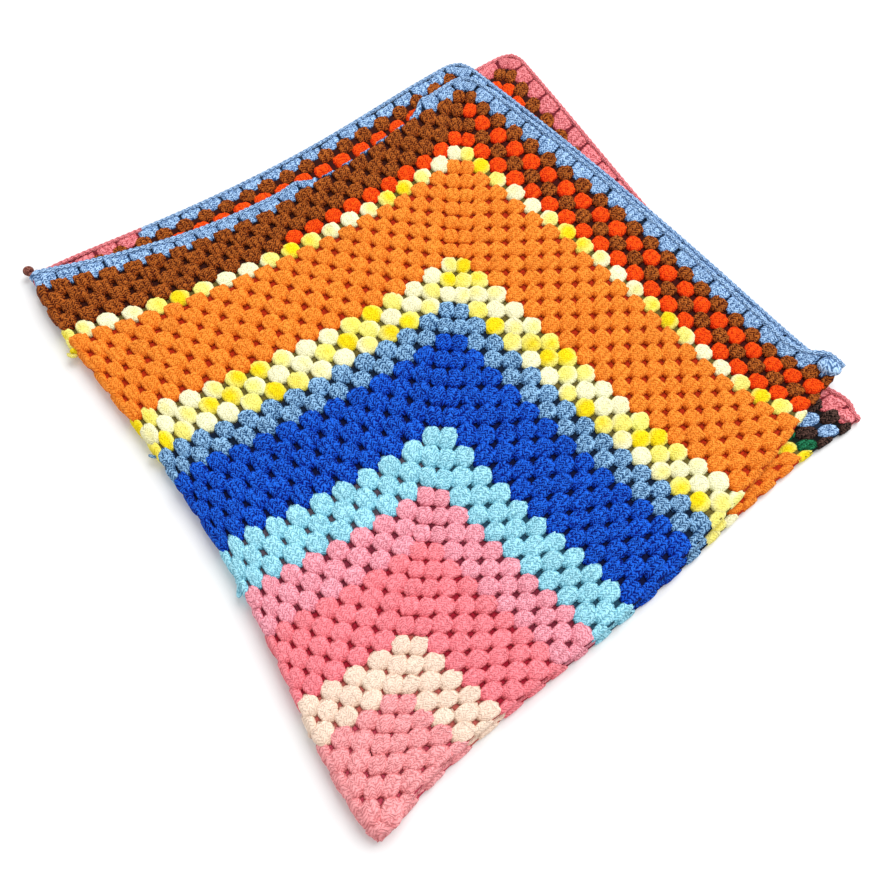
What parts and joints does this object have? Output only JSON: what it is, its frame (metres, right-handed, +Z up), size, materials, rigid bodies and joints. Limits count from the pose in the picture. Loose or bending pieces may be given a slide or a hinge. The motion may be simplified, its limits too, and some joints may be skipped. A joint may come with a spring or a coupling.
{
  "type": "granny square blanket",
  "caption": "Crocheted granny square blanket in coloured rounds with a chain edge, folded into quarters and lying flat",
  "frame": {"origin": "centre of the bounding box, on the surface that the blanket lies on", "axes": "+X along the first fold, from the blanket's centre towards its border; +Y along the second fold, from the blanket's centre towards its border; +Z up"},
  "size_m": [0.5616, 0.55, 0.0195],
  "materials": {
    "yarn": "matte, soft plied acrylic yarn"
  },
  "bodies": {
    "root": {"blanket": "yarn"}
  },
  "joints": []
}
